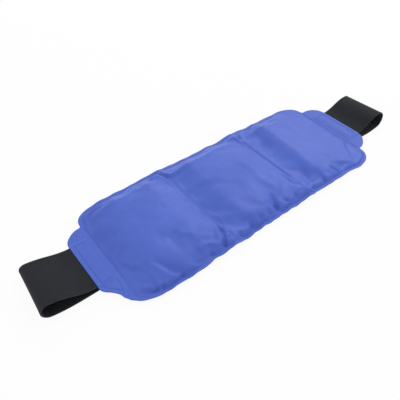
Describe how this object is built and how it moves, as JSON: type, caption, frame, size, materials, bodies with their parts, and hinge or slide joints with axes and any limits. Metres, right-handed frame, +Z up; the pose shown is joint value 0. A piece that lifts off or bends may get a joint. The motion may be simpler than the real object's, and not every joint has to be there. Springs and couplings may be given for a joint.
{
  "type": "cold compression wrap",
  "caption": "Flat gel pack in folding panels inside a welded blue cover, with an elastic strap folded back from a tab at each end, to hold cold against a limb or the back.",
  "frame": {"origin": "centre of the middle panel's flat underside, on the surface that the wrap lies on", "axes": "+X along the wrap towards the right strap, +Y across it, +Z up out of the panels' top faces"},
  "size_m": [0.5165, 0.152, 0.0195],
  "materials": {
    "film": "satin",
    "gel": "gloss",
    "webbing": "matte",
    "hook_tape": "matte",
    "loop_tape": "matte",
    "thread": "satin"
  },
  "bodies": {
    "middle_panel": {"cover_top_middle": "film", "cover_bottom_middle": "film", "gel_middle": "gel"},
    "left_panel": {"cover_top_left": "film", "cover_bottom_left": "film", "gel_left": "gel"},
    "left_tab": {"tab_sheet_top_left": "film", "tab_sheet_bottom_left": "film", "strap_tail_left": "webbing"},
    "left_strap": {"strap_outer_left": "webbing"},
    "left_strap_bend": {"strap_bend_left": "webbing"},
    "left_strap_return": {"strap_return_left": "webbing", "hook_patch": "hook_tape", "hook_patch_stitching": "thread"},
    "right_panel": {"cover_top_right": "film", "cover_bottom_right": "film", "gel_right": "gel"},
    "right_tab": {"tab_sheet_top_right": "film", "tab_sheet_bottom_right": "film", "strap_tail_right": "webbing"},
    "right_strap": {"strap_outer_right": "webbing"},
    "right_strap_bend": {"strap_bend_right": "webbing"},
    "right_strap_return": {"strap_return_right": "webbing", "loop_patch": "loop_tape", "loop_patch_stitching": "thread"}
  },
  "joints": [
    {"name": "left_fold", "type": "hinge", "parent": "middle_panel", "child": "left_panel", "pos_m": [-0.06, 0, 0.008], "axis": [0, 1, 0], "range_deg": [-60, 60]},
    {"name": "left_tab_flex", "type": "hinge", "parent": "left_panel", "child": "left_tab", "pos_m": [-0.18, 0, 0.0045], "axis": [0, 1, 0], "range_deg": [0, 30]},
    {"name": "left_strap_swing", "type": "hinge", "parent": "left_tab", "child": "left_strap", "pos_m": [-0.20425, 0, 0.00602], "axis": [0, 1, 0], "range_deg": [0, 20]},
    {"name": "left_loop_upper", "type": "hinge", "parent": "left_strap", "child": "left_strap_bend", "pos_m": [-0.25764, 0, 0.01664], "axis": [0, 1, 0], "range_deg": [0, 80]},
    {"name": "left_loop_lower", "type": "hinge", "parent": "left_strap_bend", "child": "left_strap_return", "pos_m": [-0.25764, 0, 0.00286], "axis": [0, 1, 0], "range_deg": [0, 80]},
    {"name": "right_fold", "type": "hinge", "parent": "middle_panel", "child": "right_panel", "pos_m": [0.06, 0, 0.008], "axis": [0, -1, 0], "range_deg": [-60, 60]},
    {"name": "right_tab_flex", "type": "hinge", "parent": "right_panel", "child": "right_tab", "pos_m": [0.18, 0, 0.0045], "axis": [0, -1, 0], "range_deg": [0, 30]},
    {"name": "right_strap_swing", "type": "hinge", "parent": "right_tab", "child": "right_strap", "pos_m": [0.20425, 0, 0.00602], "axis": [0, -1, 0], "range_deg": [0, 20]},
    {"name": "right_loop_upper", "type": "hinge", "parent": "right_strap", "child": "right_strap_bend", "pos_m": [0.25314, 0, 0.01664], "axis": [0, -1, 0], "range_deg": [0, 80]},
    {"name": "right_loop_lower", "type": "hinge", "parent": "right_strap_bend", "child": "right_strap_return", "pos_m": [0.25314, 0, 0.00286], "axis": [0, -1, 0], "range_deg": [0, 80]}
  ],
  "couplings": [
    {"joint": "left_loop_upper", "follows": "left_loop_lower", "ratio": 1},
    {"joint": "right_loop_upper", "follows": "right_loop_lower", "ratio": 1}
  ]
}
